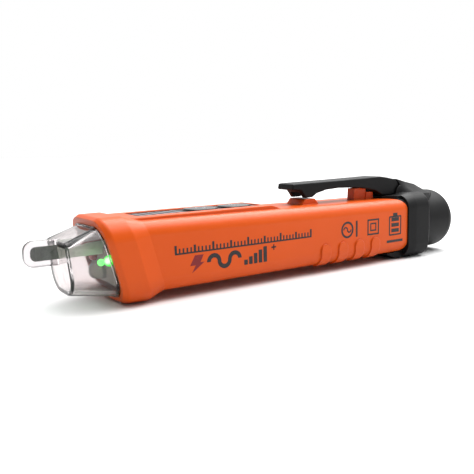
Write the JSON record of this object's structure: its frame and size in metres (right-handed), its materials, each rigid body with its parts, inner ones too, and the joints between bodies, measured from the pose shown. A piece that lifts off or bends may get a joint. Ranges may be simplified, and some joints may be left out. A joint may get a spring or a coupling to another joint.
{
  "type": "non-contact voltage tester",
  "caption": "Pen-shaped non-contact voltage tester with a clear blade nose, a top panel with buttons and a light bar, and a pull-off tail cap with a pocket clip.",
  "frame": {"origin": "middle of the bounding box on the plane the tester lies on", "axes": "+X along the pen from the probe tip to the tail, +Y across it, +Z from the belly up to the panel and the pocket clip"},
  "size_m": [0.158, 0.0256, 0.0291],
  "materials": {
    "orange_plastic": "satin",
    "clear_plastic": "clear",
    "tinned_steel": "satin",
    "label_film": "satin",
    "frosted_guide": "frosted",
    "button_black": "gloss",
    "switch_black": "matte",
    "board_green": "solder mask",
    "led_white": "satin",
    "led_clear": "clear",
    "led_green": "tinted",
    "led_red": "tinted",
    "holder_white": "matte",
    "chip_black": "matte",
    "capacitor_tan": "matte",
    "cell_jacket": "film",
    "nickel": "bright",
    "black_plastic": "satin"
  },
  "bodies": {
    "body": {"body_shell": "orange_plastic", "tip_nose": "clear_plastic", "sensor_strip": "tinned_steel", "panel_label": "label_film", "level_light_guide": "frosted_guide", "power_switch": "switch_black", "mode_switch": "switch_black", "main_board": "board_green", "level_leds": "led_white", "torch_led": "led_clear", "green_led": "led_green", "red_led": "led_red", "led_holder": "holder_white", "led_pins": "tinned_steel", "controller_chip": "chip_black", "amplifier_chip": "chip_black", "board_resistors": "chip_black", "board_capacitors": "capacitor_tan", "buzzer": "switch_black", "cell_near": "cell_jacket", "cell_far": "cell_jacket", "contact_plate": "nickel", "contact_spring": "nickel"},
    "power_key": {"power_button": "button_black", "power_plunger": "switch_black"},
    "mode_key": {"mode_button": "button_black", "mode_plunger": "switch_black"},
    "cap": {"tail_cap": "black_plastic", "bridge_plate": "nickel", "bridge_spring": "nickel"},
    "clip": {"pocket_clip": "black_plastic"}
  },
  "joints": [
    {"name": "power_press", "type": "slide", "parent": "body", "child": "power_key", "axis": [0, 0, -1], "range_m": [0, 0.0005], "stiffness_N_per_m": 500, "springref_m": -0.00012},
    {"name": "mode_press", "type": "slide", "parent": "body", "child": "mode_key", "axis": [0, 0, -1], "range_m": [0, 0.0005], "stiffness_N_per_m": 500, "springref_m": -0.00012},
    {"name": "cap_pull", "type": "slide", "parent": "body", "child": "cap", "axis": [1, 0, 0], "range_m": [0, 0.06]},
    {"name": "clip_lift", "type": "hinge", "parent": "cap", "child": "clip", "pos_m": [0.0518, 0, 0.025], "axis": [0, 1, 0], "range_deg": [0, 8], "stiffness_Nm_per_rad": 0.6, "springref_deg": -0.69}
  ]
}
